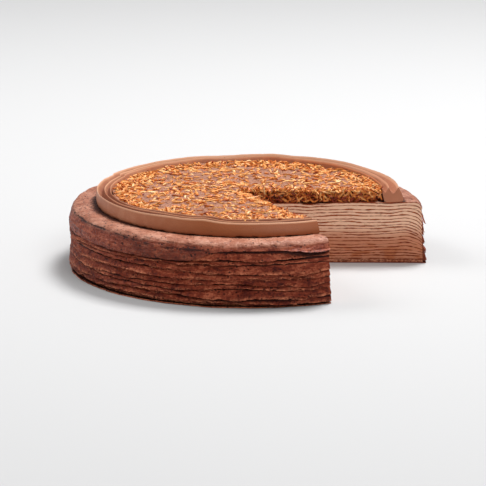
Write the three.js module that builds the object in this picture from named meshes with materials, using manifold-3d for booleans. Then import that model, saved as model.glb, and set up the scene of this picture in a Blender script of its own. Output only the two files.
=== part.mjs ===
// A chocolate crepe cake with one slice taken out, in millimetres, +Z up.
// Twenty thin crepes with cream between them make the body. Each crepe droops at the rim and hangs
// over the side as a skirt, so that the side is shingled. On top are a piped ribbon of cream with
// three ridges, and inside it a heap of crunchy shreds.
// The origin is the centre of the flat underside. The slice leaves a notch on the +X -Y side.
import * as THREE from "three";
import { mergeVertices } from "three/addons/utils/BufferGeometryUtils.js";
import Module from "manifold-3d";

// Body
const CREPE_COUNT = 20;
const BODY_HEIGHT = 41; // top of the top crepe where the stack lies level
const CREPE_THICKNESS = 0.85;
const LAYER_GAP = 0.02; // keeps touching faces from crossing
const TOPPING_GAP = 0.1; // the same under the ring and the heap
const LEVEL_RADIUS = 104; // the layers start to droop here
const SHOULDER_RADIUS_TOP = 112.2;
const SHOULDER_RADIUS_BASE = 113.4;
const BASE_RADIUS = 115.5; // the lowest crepe lies flat and reaches furthest
const BASE_EDGE_STEP = 0.5; // how much its upper edge stands back
const RIM_DROOP = 4.6; // drop of the top layer at the shoulder
const DROOP_START = 5; // layers below this height stay level
const CENTRE_SAG = 2.4; // the top is this much lower at the tip of the slice

// Skirts, the hanging edges of the crepes
const SKIRT_FLARE = 0.3; // outward run for each unit of drop
const SKIRT_INSET = 0.3; // how far the underside stands back from the shoulder
const SKIRT_MEAN = 3.1;
const SKIRT_BY_LAYER = 1.3;
const SKIRT_BY_ANGLE = 0.5;
const SKIRT_CLEARANCE = 0.35; // lowest skirts stop this far above the base crepe

// Piped ring
const RING_BASE_INNER = 88.2;
const RING_BASE_OUTER = 99.4;
const RING_HEIGHT = 9.4; // from the level top to the ridges
const RING_LIFT = 1.2; // it is this much higher at the back and lower at the front
const RING_RIDGES = [
  // radius and depth below the ridge line, from the outer ridge to the inner one
  { radius: 97, depth: 0 },
  { radius: 93.7, depth: 3.9 },
  { radius: 91, depth: 0.2 },
  { radius: 88.8, depth: 3 },
  { radius: 86.8, depth: 0.1 },
];

// Crunchy heap inside the ring
const HEAP_HEIGHT = 7.4; // from the level top to its mean surface
const HEAP_ROUGHNESS = 0.45;
const HEAP_RING_GAP = 0.35;
const HEAP_RADII = [86, 74, 58, 40, 20]; // circles of its uneven surface

// Slice taken out
const CUT_APEX = { x: -6.8, y: 0.5 };
const CUT_FROM = -61; // degrees from +X
const CUT_TO = -1;

const SEGMENTS = 28;
const FAR = 260; // beyond everything, for the cutter
const CREAM_THICKNESS = (BODY_HEIGHT - CREPE_COUNT * CREPE_THICKNESS) / (CREPE_COUNT - 1);
const LAYER_PITCH = CREPE_THICKNESS + CREAM_THICKNESS;

const MATERIALS = {
  crepe: new THREE.MeshStandardMaterial({ color: 0x5b3226, roughness: 0.72, metalness: 0 }),
  cream: new THREE.MeshStandardMaterial({ color: 0xb08e79, roughness: 0.55, metalness: 0 }),
  piped: new THREE.MeshStandardMaterial({ color: 0x9a6549, roughness: 0.5, metalness: 0 }),
  crunch: new THREE.MeshStandardMaterial({ color: 0xd98f3c, roughness: 0.6, metalness: 0 }),
};

const wasm = await Module();
wasm.setup();

// Heights of the layers -----------------------------------------------------------------------

function shoulderRadius(level) {
  return THREE.MathUtils.lerp(SHOULDER_RADIUS_BASE, SHOULDER_RADIUS_TOP, level / BODY_HEIGHT);
}

function rimDroop(level) {
  const above = Math.max(0, level - DROOP_START) / (BODY_HEIGHT - DROOP_START);
  return RIM_DROOP * above;
}

// Height at a radius of the layer surface that lies at `level` where the stack is level.
function heightAt(level, radius) {
  const inward = Math.max(0, 1 - radius / LEVEL_RADIUS);
  const outward = Math.max(0, radius - LEVEL_RADIUS) / (shoulderRadius(level) - LEVEL_RADIUS);
  return level - CENTRE_SAG * (level / BODY_HEIGHT) * inward - rimDroop(level) * outward;
}

function crepeLevels(index) {
  const bottom = index * LAYER_PITCH;
  return { bottom, top: bottom + CREPE_THICKNESS };
}

function skirtLength(index, angle, shoulderHeight) {
  const byLayer = SKIRT_BY_LAYER * Math.sin(2.4 * index + 0.6);
  const byAngle = SKIRT_BY_ANGLE * (Math.sin(3 * angle + 1.7 * index) + Math.sin(7 * angle + index));
  const room = shoulderHeight - CREPE_THICKNESS - SKIRT_CLEARANCE;
  return Math.min(SKIRT_MEAN + byLayer + byAngle, room);
}

// Profiles, counter-clockwise in (radius, height) ----------------------------------------------

function baseCrepeProfile() {
  return [
    [0, 0],
    [BASE_RADIUS, 0],
    [BASE_RADIUS - BASE_EDGE_STEP, heightAt(CREPE_THICKNESS, LEVEL_RADIUS)],
    [LEVEL_RADIUS, heightAt(CREPE_THICKNESS, LEVEL_RADIUS)],
    [0, heightAt(CREPE_THICKNESS, 0)],
  ];
}

function crepeProfile(index, angle) {
  const { bottom, top } = crepeLevels(index);
  const inner = shoulderRadius(bottom) - SKIRT_INSET;
  const shoulder = shoulderRadius(top);
  const shoulderHeight = heightAt(top, shoulder);
  const length = skirtLength(index, angle, shoulderHeight);
  return [
    [0, heightAt(bottom, 0)],
    [LEVEL_RADIUS, bottom],
    [inner, heightAt(bottom, inner)],
    [shoulder + SKIRT_FLARE * length, shoulderHeight - length],
    [shoulder, shoulderHeight],
    [LEVEL_RADIUS, top],
    [0, heightAt(top, 0)],
  ];
}

// Cream number `index` lies on crepe number `index`.
function creamProfile(index) {
  const low = crepeLevels(index).top;
  const high = crepeLevels(index + 1).bottom;
  const outerLow = shoulderRadius(low);
  const outerHigh = shoulderRadius(high) - SKIRT_INSET;
  return [
    [0, heightAt(low, 0) + LAYER_GAP],
    [LEVEL_RADIUS, low + LAYER_GAP],
    [outerLow, heightAt(low, outerLow) + LAYER_GAP],
    [outerHigh, heightAt(high, outerHigh) - LAYER_GAP],
    [LEVEL_RADIUS, high - LAYER_GAP],
    [0, heightAt(high, 0) - LAYER_GAP],
  ];
}

function ringProfile(angle) {
  const ridgeLine = BODY_HEIGHT + RING_HEIGHT + RING_LIFT * Math.sin(angle);
  const ridges = RING_RIDGES.map(({ radius, depth }) => [radius, ridgeLine - depth]);
  const start = [RING_BASE_INNER, heightAt(BODY_HEIGHT, RING_BASE_INNER) + TOPPING_GAP];
  return [
    start,
    [RING_BASE_OUTER, heightAt(BODY_HEIGHT, RING_BASE_OUTER) + TOPPING_GAP],
    ...ridges,
    start,
  ];
}

function heapProfile(angle) {
  const mean = BODY_HEIGHT + HEAP_HEIGHT;
  const edge = RING_BASE_INNER - HEAP_RING_GAP;
  const surface = HEAP_RADII.map((radius, i) => {
    const bump = Math.sin(5 * angle + 2.1 * i) + Math.sin(11 * angle + 1.3 * i * i);
    return [radius, mean + (HEAP_ROUGHNESS / 2) * bump];
  });
  return [
    [0, heightAt(BODY_HEIGHT, 0) + TOPPING_GAP],
    [edge, heightAt(BODY_HEIGHT, edge) + TOPPING_GAP],
    ...surface,
    [0, mean],
  ];
}

// Solids ---------------------------------------------------------------------------------------

// A lathe whose profile may change with the angle. Its middle point lies at the tip of the slice.
function revolve(profileAt) {
  const count = profileAt(0).length;
  const outline = Array.from({ length: count }, (_, i) => new THREE.Vector2(1, i));
  const geometry = new THREE.LatheGeometry(outline, SEGMENTS);
  const position = geometry.attributes.position;
  for (let step = 0; step <= SEGMENTS; step++) {
    const angle = ((step % SEGMENTS) / SEGMENTS) * 2 * Math.PI;
    profileAt(angle).forEach(([radius, height], i) => {
      const centre = radius === 0 ? CUT_APEX : { x: 0, y: 0 };
      const x = centre.x + radius * Math.cos(angle);
      const y = centre.y + radius * Math.sin(angle);
      position.setXYZ(step * count + i, x, y, height);
    });
  }
  return geometry;
}

function solidOf(geometry) {
  const bare = geometry.clone();
  bare.deleteAttribute("normal");
  bare.deleteAttribute("uv");
  const merged = mergeVertices(bare, 1e-4);
  const corners = merged.index.array;
  const kept = [];
  for (let i = 0; i < corners.length; i += 3) {
    const [a, b, c] = corners.subarray(i, i + 3);
    if (a !== b && b !== c && c !== a) kept.push(a, b, c);
  }
  const vertProperties = merged.attributes.position.array;
  const triVerts = new Uint32Array(kept);
  return new wasm.Manifold(new wasm.Mesh({ numProp: 3, vertProperties, triVerts }));
}

function geometryOf(solid) {
  const mesh = solid.getMesh();
  return new THREE.BufferGeometry()
    .setAttribute("position", new THREE.BufferAttribute(new Float32Array(mesh.vertProperties), 3))
    .setIndex(new THREE.BufferAttribute(new Uint32Array(mesh.triVerts), 1));
}

// The prism of the slice that was taken out.
function sliceCutter() {
  const from = THREE.MathUtils.degToRad(CUT_FROM);
  const to = THREE.MathUtils.degToRad(CUT_TO);
  const outline = new THREE.Shape([
    new THREE.Vector2(CUT_APEX.x, CUT_APEX.y),
    new THREE.Vector2(CUT_APEX.x + FAR * Math.cos(from), CUT_APEX.y + FAR * Math.sin(from)),
    new THREE.Vector2(CUT_APEX.x + FAR * Math.cos(to), CUT_APEX.y + FAR * Math.sin(to)),
  ]);
  const prism = new THREE.ExtrudeGeometry(outline, { depth: FAR, bevelEnabled: false });
  prism.translate(0, 0, -FAR / 2);
  return solidOf(prism);
}

const cutter = sliceCutter();

function addPiece(group, name, material, profileAt) {
  const cut = solidOf(revolve(profileAt)).subtract(cutter);
  const mesh = new THREE.Mesh(geometryOf(cut), material);
  mesh.name = name;
  group.add(mesh);
}

function numbered(kind, index) {
  return `${kind}_${String(index + 1).padStart(2, "0")}`;
}

// Assembly -------------------------------------------------------------------------------------

const cake = new THREE.Group();
cake.name = "crepe_cake";

addPiece(cake, numbered("crepe", 0), MATERIALS.crepe, baseCrepeProfile);
for (let i = 1; i < CREPE_COUNT; i++) {
  addPiece(cake, numbered("crepe", i), MATERIALS.crepe, (angle) => crepeProfile(i, angle));
}
for (let i = 0; i < CREPE_COUNT - 1; i++) {
  addPiece(cake, numbered("cream", i), MATERIALS.cream, () => creamProfile(i));
}
addPiece(cake, "piped_ring", MATERIALS.piped, ringProfile);
addPiece(cake, "crunch_heap", MATERIALS.crunch, heapProfile);

export default cake;
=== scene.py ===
"""A chocolate crepe cake with one slice taken out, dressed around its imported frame.

Every layer of crepe and cream is a closed piece of its own, cut by the same two upright planes. The
crepes hang over the rim as thin ragged skirts that lie on each other, the ring is one piped ribbon, and
the heap is a core of cream under thousands of baked shreds. Sizes are in millimetres until a mesh is built.
"""

from __future__ import annotations

import logging
import math
from dataclasses import dataclass, field
from enum import Enum

import bmesh
import bpy
import numpy as np
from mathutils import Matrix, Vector

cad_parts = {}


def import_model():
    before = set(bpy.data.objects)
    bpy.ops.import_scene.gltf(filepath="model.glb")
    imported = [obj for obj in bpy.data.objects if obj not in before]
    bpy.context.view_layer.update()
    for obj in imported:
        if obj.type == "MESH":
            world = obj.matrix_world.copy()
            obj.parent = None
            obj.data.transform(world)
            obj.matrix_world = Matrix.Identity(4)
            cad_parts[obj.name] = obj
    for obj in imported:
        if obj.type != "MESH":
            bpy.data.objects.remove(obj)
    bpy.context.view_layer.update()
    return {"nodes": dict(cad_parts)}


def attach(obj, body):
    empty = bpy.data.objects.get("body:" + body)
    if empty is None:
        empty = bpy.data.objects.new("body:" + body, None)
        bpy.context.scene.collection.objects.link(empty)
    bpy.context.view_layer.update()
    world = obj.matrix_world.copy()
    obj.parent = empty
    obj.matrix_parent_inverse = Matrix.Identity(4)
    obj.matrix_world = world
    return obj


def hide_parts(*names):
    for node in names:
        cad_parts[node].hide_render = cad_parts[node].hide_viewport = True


MM = 0.001
BODY = "root"
LOW_FOOT_DEG = 188.0  # here the ring's foot stands furthest in, and the painted shade on the crepe beside it is darkest
LOW_FOOT_SPREAD_DEG = 38.0
FOOT_SLIMMER = 2.3  # how much further in it stands there
log = logging.getLogger("crepe_cake")
Array = np.ndarray
Colour = tuple[float, float, float]


class Slot(Enum):
    """The record's material slots."""

    CREPE = "crepe"
    CREAM = "cream"
    PIPED = "piped_cream"
    CRUNCH = "crunch"


class Side(Enum):
    """The two cut faces of the notch."""

    FRONT = 0  # seen from the front, along +X
    REAR = 1  # turned away from the front


def tint(red: float, green: float, blue: float) -> Colour:
    """A scene-linear colour from a screen colour of 0 to 255."""
    parts = []
    for value in (red, green, blue):
        share = value / 255
        parts.append(share / 12.92 if share <= 0.04045 else ((share + 0.055) / 1.055) ** 2.4)
    return parts[0], parts[1], parts[2]


# Unevenness ------------------------------------------------------------------------------------


def ease(share: Array) -> Array:
    """A smooth step of a share from 0 to 1."""
    held = np.clip(share, 0, 1)
    return held * held * (3 - 2 * held)


def waver(at: Array, wavelength: float, draw: np.random.Generator) -> Array:
    """Smooth random unevenness along a line.

    Args:
        at: Places along the line.
        wavelength: Distance between the random heights.
        draw: The source of random numbers.

    Returns:
        Heights from -1 to 1, one for each place.
    """
    steps = (at - at.min()) / wavelength
    heights = draw.uniform(-1, 1, int(steps.max()) + 3)
    whole = np.floor(steps).astype(int)
    share = ease(steps - whole)
    return heights[whole] * (1 - share) + heights[whole + 1] * share


def dapple(x: Array, y: Array, wavelength: float, draw: np.random.Generator) -> Array:
    """Smooth random unevenness over a surface.

    Args:
        x: First coordinate of each place.
        y: Second coordinate of each place.
        wavelength: Distance between the random heights.
        draw: The source of random numbers.

    Returns:
        Heights from -1 to 1, in the shape of x.
    """
    across = (x - x.min()) / wavelength
    along = (y - y.min()) / wavelength
    heights = draw.uniform(-1, 1, (int(across.max()) + 3, int(along.max()) + 3))
    i = np.floor(across).astype(int)
    j = np.floor(along).astype(int)
    u = ease(across - i)
    v = ease(along - j)
    near = heights[i, j] * (1 - u) + heights[i + 1, j] * u
    far = heights[i, j + 1] * (1 - u) + heights[i + 1, j + 1] * u
    return near * (1 - v) + far * v


# Mesh building ---------------------------------------------------------------------------------


@dataclass
class Draft:
    """A mesh in the making, in millimetres."""

    points: list[Array] = field(default_factory=list)
    faces: list[Array] = field(default_factory=list)
    finishes: list[Array] = field(default_factory=list)
    marks: dict[str, list[Array]] = field(default_factory=dict)
    count: int = 0

    def add_points(self, points: Array, **marks: Array | float) -> Array:
        """Adds points.

        Args:
            points: Array whose last axis is x, y, z.
            **marks: Values of named attributes at those points.

        Returns:
            The points' numbers, in the shape of the array without its last axis.
        """
        shape = points.shape[:-1]
        size = int(np.prod(shape))
        self.points.append(points.reshape(-1, 3))
        for name in set(marks) | set(self.marks):
            kept = self.marks.setdefault(name, [np.zeros(self.count)])
            kept.append(np.broadcast_to(marks.get(name, 0.0), shape).reshape(-1))
        self.count += size
        return np.arange(self.count - size, self.count).reshape(shape)

    def add_grid(self, ids: Array, finish: int = 0) -> None:
        """Adds the quads between the rows and columns of a table of point numbers."""
        quads = np.stack([ids[:-1, :-1], ids[1:, :-1], ids[1:, 1:], ids[:-1, 1:]], -1).reshape(-1, 4)
        self.add_faces(quads, finish)

    def add_faces(self, faces: Array, finish: int = 0) -> None:
        """Adds faces with the same number of corners, one in each row."""
        self.faces.append(faces)
        self.finishes.append(np.full(len(faces), finish))

    def add_polygon(self, corners: Array, finish: int = 0) -> None:
        """Adds one face with any number of corners."""
        self.add_faces(corners.reshape(1, -1), finish)

    def build(self, name: str, materials: list[bpy.types.Material], crease: float = 40) -> bpy.types.Object:
        """Makes the object.

        Args:
            name: The piece's name.
            materials: Its materials, in the order of the finish numbers.
            crease: Edges sharper than this many degrees stay sharp.

        Returns:
            The new object, linked to the scene.
        """
        mesh = bpy.data.meshes.new(name)
        corners = np.concatenate([faces.reshape(-1) for faces in self.faces])
        sizes = np.concatenate([np.full(len(faces), faces.shape[1]) for faces in self.faces])
        mesh.vertices.add(self.count)
        mesh.vertices.foreach_set("co", (np.concatenate(self.points) * MM).astype(np.float32).reshape(-1))
        mesh.loops.add(len(corners))
        mesh.loops.foreach_set("vertex_index", corners.astype(np.int32))
        mesh.polygons.add(len(sizes))
        mesh.polygons.foreach_set("loop_start", (np.cumsum(sizes) - sizes).astype(np.int32))
        mesh.polygons.foreach_set("material_index", np.concatenate(self.finishes).astype(np.int32))
        mesh.update(calc_edges=True)
        self._turn_outwards(mesh)
        for mark, values in self.marks.items():
            attribute = mesh.attributes.new(mark, "FLOAT", "POINT")
            attribute.data.foreach_set("value", np.concatenate(values).astype(np.float32))
        for material in materials:
            mesh.materials.append(material)
        mesh.shade_smooth()
        mesh.set_sharp_from_angle(angle=math.radians(crease))
        piece = bpy.data.objects.new(name, mesh)
        bpy.context.scene.collection.objects.link(piece)
        return piece

    @staticmethod
    def _turn_outwards(mesh: bpy.types.Mesh) -> None:
        """Turns every face of a closed mesh outwards."""
        work = bmesh.new()
        work.from_mesh(mesh)
        bmesh.ops.recalc_face_normals(work, faces=work.faces)
        work.to_mesh(mesh)
        work.free()


def joined(name: str, piece: bpy.types.Object, slot: Slot, *nodes: str) -> None:
    """Lets a finished piece ride on the cake, hides the CAD nodes it replaces, and reports it.

    Args:
        name: What the piece is, for the report.
        piece: The finished object.
        slot: The record's material slot; not used.
        *nodes: CAD nodes that it stands for.
    """
    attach(piece, BODY)
    if nodes:
        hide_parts(*nodes)
    log.info("%s: %s, %d faces", name, piece.name, len(piece.data.polygons))


# Shader building -------------------------------------------------------------------------------


class Wire:
    """An output socket that takes part in Python expressions."""

    def __init__(self, shader: Shader, socket: bpy.types.NodeSocket) -> None:
        """Wraps a socket of a shader."""
        self.shader = shader
        self.socket = socket

    def _math(self, operation: str, first: Wire | float, second: Wire | float) -> Wire:
        """Adds a Math node and returns its result."""
        return self.shader.node("ShaderNodeMath", {"operation": operation}, {0: first, 1: second})

    def __add__(self, other: Wire | float) -> Wire:
        """Sum."""
        return self._math("ADD", self, other)

    __radd__ = __add__

    def __sub__(self, other: Wire | float) -> Wire:
        """Difference."""
        return self._math("SUBTRACT", self, other)

    def __rsub__(self, other: Wire | float) -> Wire:
        """Reflected difference."""
        return self._math("SUBTRACT", other, self)

    def __mul__(self, other: Wire | float) -> Wire:
        """Product."""
        return self._math("MULTIPLY", self, other)

    __rmul__ = __mul__

    def between(self, low: float, high: float) -> Wire:
        """A smooth share, 0 at low and 1 at high."""
        values = {"Value": self, "From Min": low, "From Max": high}
        return self.shader.node("ShaderNodeMapRange", {"interpolation_type": "SMOOTHSTEP"}, values)


class Shader:
    """A node material in the making, with one main surface shader."""

    def __init__(self, name: str) -> None:
        """Starts an empty material."""
        self.material = bpy.data.materials.new(name)
        self.material.use_nodes = True
        self.tree = self.material.node_tree
        self.tree.nodes.clear()

    def node(
        self,
        kind: str,
        settings: dict[str, object] | None = None,
        values: dict[str | int, object] | None = None,
        outlet: str | int | None = 0,
    ) -> Wire | None:
        """Adds any node.

        Args:
            kind: The node's type.
            settings: Properties set first; "stops" gives a colour ramp's places and colours.
            values: Numbers, colours or wires for its input sockets.
            outlet: The output to return, or None for a node without outputs.

        Returns:
            The chosen output, if any.
        """
        made = self.tree.nodes.new(kind)
        for key, value in (settings or {}).items():
            if key == "stops":
                self._set_stops(made.color_ramp, value)
            else:
                setattr(made, key, value)
        for key, value in (values or {}).items():
            if isinstance(value, Wire):
                self.tree.links.new(value.socket, made.inputs[key])
            elif self._needs_alpha(made.inputs[key], value):
                made.inputs[key].default_value = (*value, 1.0)
            else:
                made.inputs[key].default_value = value
        return None if outlet is None else Wire(self, made.outputs[outlet])

    @staticmethod
    def _needs_alpha(socket: bpy.types.NodeSocket, value: object) -> bool:
        """Whether a three-part colour is meant for a four-part socket."""
        return socket.type == "RGBA" and len(value) == 3

    @staticmethod
    def _set_stops(ramp: bpy.types.ColorRamp, stops: list[tuple[float, Colour]]) -> None:
        """Gives a colour ramp its stops."""
        while len(ramp.elements) < len(stops):
            ramp.elements.new(1.0)
        for element, (place, colour) in zip(ramp.elements, stops):
            element.position = place
            element.color = (*colour, 1.0)

    def place(self) -> Wire:
        """The place on the object, in metres."""
        return self.node("ShaderNodeTexCoord", outlet="Object")

    def height(self) -> Wire:
        """The height above the cake's underside, in metres."""
        return self.node("ShaderNodeSeparateXYZ", values={0: self.place()}, outlet="Z")

    def mark(self, name: str) -> Wire:
        """A named attribute of the mesh."""
        return self.node("ShaderNodeAttribute", {"attribute_name": name}, outlet="Fac")

    def noise(self, grain: float, detail: float = 3, rough: float = 0.55, flatten: float = 1) -> Wire:
        """Cloudy noise.

        Args:
            grain: Size of its largest features, in millimetres.
            detail: Number of finer octaves.
            rough: Strength of the finer octaves.
            flatten: How many times finer it is upwards.

        Returns:
            Values about 0.5.
        """
        stretched = self.node(
            "ShaderNodeVectorMath", {"operation": "MULTIPLY"}, {0: self.place(), 1: (1, 1, flatten)}
        )
        values = {"Vector": stretched, "Scale": 1 / (grain * MM), "Detail": detail, "Roughness": rough}
        return self.node("ShaderNodeTexNoise", values=values)

    def cells(self, grain: float) -> Wire:
        """Distance to the nearest of scattered points, 0 at a point and about 1 between them."""
        values = {"Vector": self.place(), "Scale": 1 / (grain * MM)}
        return self.node("ShaderNodeTexVoronoi", values=values, outlet="Distance")

    def mix(self, first: Wire | Colour, second: Wire | Colour, share: Wire | float) -> Wire:
        """A blend of two colours."""
        settings = {"data_type": "RGBA", "clamp_factor": True}
        return self.node("ShaderNodeMix", settings, {0: share, 6: first, 7: second}, 2)

    def bump(self, relief: Wire, depth: float) -> Wire:
        """A surface normal from a relief of the given depth in millimetres."""
        return self.node("ShaderNodeBump", values={"Height": relief, "Strength": 1.0, "Distance": depth * MM})

    def finish(self, values: dict[str, object]) -> bpy.types.Material:
        """Ends the material with its surface shader.

        Args:
            values: Numbers, colours or wires for the surface shader's sockets.

        Returns:
            The finished material.
        """
        surface = self.node("ShaderNodeBsdfPrincipled", values=values)
        self.node("ShaderNodeOutputMaterial", values={"Surface": surface}, outlet=None)
        return self.material


# Finishes --------------------------------------------------------------------------------------


@dataclass(frozen=True)
class Browning:
    """The colours of a crepe's skin, from its darkest patches to its palest ones."""

    dark: Colour
    middle: Colour
    pale: Colour


@dataclass(frozen=True)
class BakedCrepe:
    """The browned skin of a crepe, with pores, freckles, paler worn edges and painted shade.

    A crepe may have another browning above a height, where it turns over the rim and lies level.
    """

    name: str
    side: Browning = Browning(tint(76, 18, 8), tint(126, 50, 28), tint(174, 92, 64))
    level: Browning | None = None
    edge: Colour = tint(212, 128, 92)
    # Colour of the pores, and also of the painted shade.
    pore: Colour = tint(42, 6, 3)
    depth: float = 0.9
    roughness: float = 0.58
    shine: float = 0.16
    turn_low: float = 0.0366
    turn_high: float = 0.0402

    def material(self) -> bpy.types.Material:
        """Makes the material."""
        make = Shader(self.name)
        cloud = make.noise(13, 4, 0.6, flatten=2.2)
        blotch = make.noise(4.5, 3, 0.6, flatten=1.5)
        fleck = make.noise(1.7, 4, 0.7, flatten=1.3)
        wrinkle = make.noise(5, 3, 0.6, flatten=4.5)
        # Painted shade: the mark says where shade falls, and more pores gather there too.
        hollow = make.mark("hollow")
        zone = make.noise(10, 3, 0.6, flatten=3.0).between(0.44, 0.56) + hollow * 1.5
        pores = (1 - make.cells(2.3).between(0.14, 0.36)) * zone
        tone = cloud * 0.35 + blotch * 0.1 + fleck * 0.3 + wrinkle * 0.25 + (make.height() - 0.02) * 1.6
        base = self._browned(make, self.side, tone)
        if self.level:
            turned = (make.height() + (blotch - 0.5) * 0.003).between(self.turn_low, self.turn_high)
            base = make.mix(base, self._browned(make, self.level, tone), turned)
        base = make.mix(base, self.edge, make.mark("edge") * fleck.between(0.35, 0.6))
        base = make.mix(base, self.pore, pores * 0.85)
        # Painted shade, darkened towards the pore colour with ragged borders.
        ragged = (hollow * 1.25 + (fleck - 0.5) * 1.5).between(0.32, 0.78)
        base = make.mix(base, self.pore, hollow * 0.3)
        base = make.mix(base, self.pore, ragged * 0.92)
        relief = blotch + wrinkle * 0.8 + make.noise(1.7, 1.5, 0.4) * 0.45 - pores * 0.2
        relief = relief - ragged * 0.35
        rough = self.roughness + (fleck - 0.5) * 0.3
        values = {"Base Color": base, "Roughness": rough, "Normal": make.bump(relief, self.depth)}
        return make.finish({**values, "Specular IOR Level": self.shine})

    @staticmethod
    def _browned(make: Shader, browning: Browning, tone: Wire) -> Wire:
        """The browned colour for a tone of about 0.5."""
        base = make.mix(browning.dark, browning.middle, tone.between(0.4, 0.5))
        return make.mix(base, browning.pale, tone.between(0.49, 0.6))


@dataclass(frozen=True)
class CutCrepe:
    """The knife-cut edge of a crepe: moist and porous, with cream smeared over parts of it."""

    name: str = "crepe_cut"
    upper: Colour = tint(158, 78, 46)
    lower: Colour = tint(118, 54, 29)
    pore: Colour = tint(112, 34, 12)
    smear_upper: Colour = tint(232, 186, 158)
    smear_lower: Colour = tint(192, 128, 98)

    def material(self) -> bpy.types.Material:
        """Makes the material."""
        make = Shader(self.name)
        rise = make.height().between(0.012, 0.03)
        fleck = make.noise(1.3, 4, 0.7)
        base = make.mix(self.lower, self.upper, rise)
        base = make.mix(base, self.pore, fleck.between(0.46, 0.64) * 0.85)
        smear = make.noise(9, 3, 0.6, flatten=4).between(0.54, 0.66) * 0.7
        base = make.mix(base, make.mix(self.smear_lower, self.smear_upper, rise), smear)
        relief = fleck + make.noise(0.5, 2)
        values = {"Base Color": base, "Normal": make.bump(relief, 0.12)}
        return make.finish({**values, "Roughness": 0.6, "Specular IOR Level": 0.2})


@dataclass(frozen=True)
class CutCream:
    """Cocoa cream cut by a knife: pale above, warmer and darker towards the base, partly its own colour and
    partly painted shade.
    """

    name: str = "cream_cut"
    upper: Colour = tint(238, 193, 162)
    lower: Colour = tint(194, 126, 93)
    warm: Colour = tint(178, 96, 52)
    crumb: Colour = tint(134, 70, 44)
    # Colour of the dark patches near the base, partly the cream's own and partly painted shade.
    near_base_dark: Colour = tint(96, 38, 15)

    def material(self) -> bpy.types.Material:
        """Makes the material."""
        make = Shader(self.name)
        drift = make.noise(16, 3, flatten=5)
        rise = make.height() + (drift - 0.5) * 0.008
        base = make.mix(self.lower, self.upper, rise.between(0.014, 0.027))
        warmth = (1 - make.height().between(0.006, 0.018)) * make.noise(11, 2, flatten=2).between(0.45, 0.65)
        base = make.mix(base, self.warm, warmth * 0.7)
        smear = make.noise(4, 4, 0.65, flatten=5).between(0.56, 0.68)
        base = make.mix(base, self.crumb, smear * 0.5)
        # Dark patches near the base: partly the cream's own colour, partly painted shade.
        near_base = 1 - make.height().between(0.001, 0.0048)
        shade_darkening = near_base * make.noise(1.5, 3, 0.7, flatten=1.6).between(0.42, 0.56)
        base = make.mix(base, self.near_base_dark, shade_darkening * 0.85)
        pits = make.noise(0.9, 3, 0.6)
        relief = pits * 0.7 + make.noise(2.4, 3, flatten=2.5)
        values = {"Base Color": base, "Normal": make.bump(relief, 0.35)}
        return make.finish({**values, "Roughness": 0.5, "Specular IOR Level": 0.25})


@dataclass(frozen=True)
class PipedCream:
    """Smooth piped chocolate cream with a satin surface; where marked, painted highlight on its thin lips and
    painted shade in its grooves, at its foot and over its outer wall.
    """

    name: str
    body: Colour
    # Paler tone of the cream, also the painted highlight on the lips.
    pale: Colour
    # Colour of the painted shade over the outer wall.
    wall: Colour
    marked: bool = True
    bubbles: float = 0.12
    # Colour of the painted shade in the grooves and at the foot.
    groove: Colour = tint(96, 36, 12)
    pit: Colour = tint(92, 44, 26)

    def material(self) -> bpy.types.Material:
        """Makes the material."""
        make = Shader(self.name)
        cloud = make.noise(9, 3, flatten=0.6)
        grain = make.noise(0.9, 3, 0.6)
        base = make.mix(self.body, self.pale, cloud.between(0.35, 0.7) * 0.2 + (grain - 0.5) * 0.3)
        if self.marked:
            # Painted shade over the outer wall, painted highlight on the lips, painted shade in the grooves
            # and at the foot.
            base = make.mix(base, self.wall, make.mark("wall"))
            base = make.mix(base, self.pale, make.mark("edge"))
            base = make.mix(base, self.groove, make.mark("hollow") * (0.8 + (grain - 0.5) * 0.6))
        pits = 1 - make.cells(3.1).between(0.04, 0.1)
        base = make.mix(base, self.pit, pits * 0.6)
        relief = grain * 0.5 + cloud * 0.5 - pits * self.bubbles * 8
        values = {"Base Color": base, "Normal": make.bump(relief, 0.22)}
        return make.finish({**values, "Roughness": 0.46, "Specular IOR Level": 0.28})


@dataclass(frozen=True)
class HeapCream:
    """The brown cream that binds the heap, with crumbs sunk in it and painted shade on its side walls, darker
    further down.
    """

    name: str = "heap_cream"
    dark: Colour = tint(146, 92, 72)
    middle: Colour = tint(186, 131, 108)
    gold: Colour = tint(190, 122, 82)
    # Colour of the painted shade on the side walls.
    deep_shade: Colour = tint(104, 30, 6)

    def material(self) -> bpy.types.Material:
        """Makes the material."""
        make = Shader(self.name)
        cloud = make.noise(6, 4, 0.6)
        crumbs = make.noise(1.5, 3, 0.7)
        base = make.mix(self.dark, self.middle, cloud.between(0.34, 0.56))
        base = make.mix(base, self.gold, crumbs.between(0.5, 0.57) * 0.8)
        # Painted shade on the side walls.
        base = make.mix(base, self.deep_shade, make.mark("hollow"))
        relief = cloud + crumbs * 1.5
        values = {"Base Color": base, "Normal": make.bump(relief, 1.6)}
        return make.finish({**values, "Roughness": 0.5, "Specular IOR Level": 0.4})


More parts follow.
